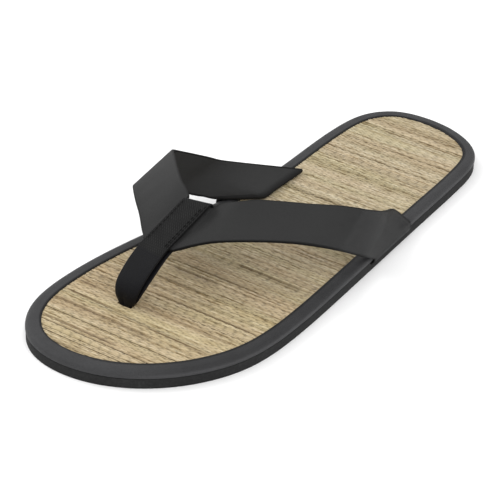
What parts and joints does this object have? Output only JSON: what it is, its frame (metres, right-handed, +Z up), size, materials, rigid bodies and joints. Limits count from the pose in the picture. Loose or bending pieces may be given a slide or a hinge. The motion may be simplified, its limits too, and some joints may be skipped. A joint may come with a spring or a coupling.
{
  "type": "flip-flop",
  "caption": "Left flat sandal: woven-straw footbed with a bound edge on a thin foam sole, a wide V strap, and a webbing loop that passes between the toes to hold it on the foot",
  "frame": {"origin": "On the floor under the middle of the sandal: the bottom centre of its bounding box, in the plane of the sole's underside", "axes": "+Z up from the floor; +Y toward the heel and -Y toward the toe; +X toward the outer, little-toe side and -X toward the big-toe side of this left sandal"},
  "size_m": [0.104, 0.28, 0.0446],
  "materials": {
    "outsole": "black closed-cell foam rubber, matt, fine tread beneath",
    "footbed": "natural straw woven across the foot over thin thread warps, dry and matt with darker strands",
    "binding": "dark grey synthetic tape folded over the edge, satin, lightly creased",
    "strap": "dark grey synthetic leather, satin, fine grain, black cut edges",
    "webbing": "black woven webbing, stitched along both edges where it lies on the strap"
  },
  "bodies": {
    "root": {"outsole": "outsole", "footbed": "footbed", "binding": "binding", "strap": "strap", "toe_loop": "webbing"}
  },
  "joints": []
}
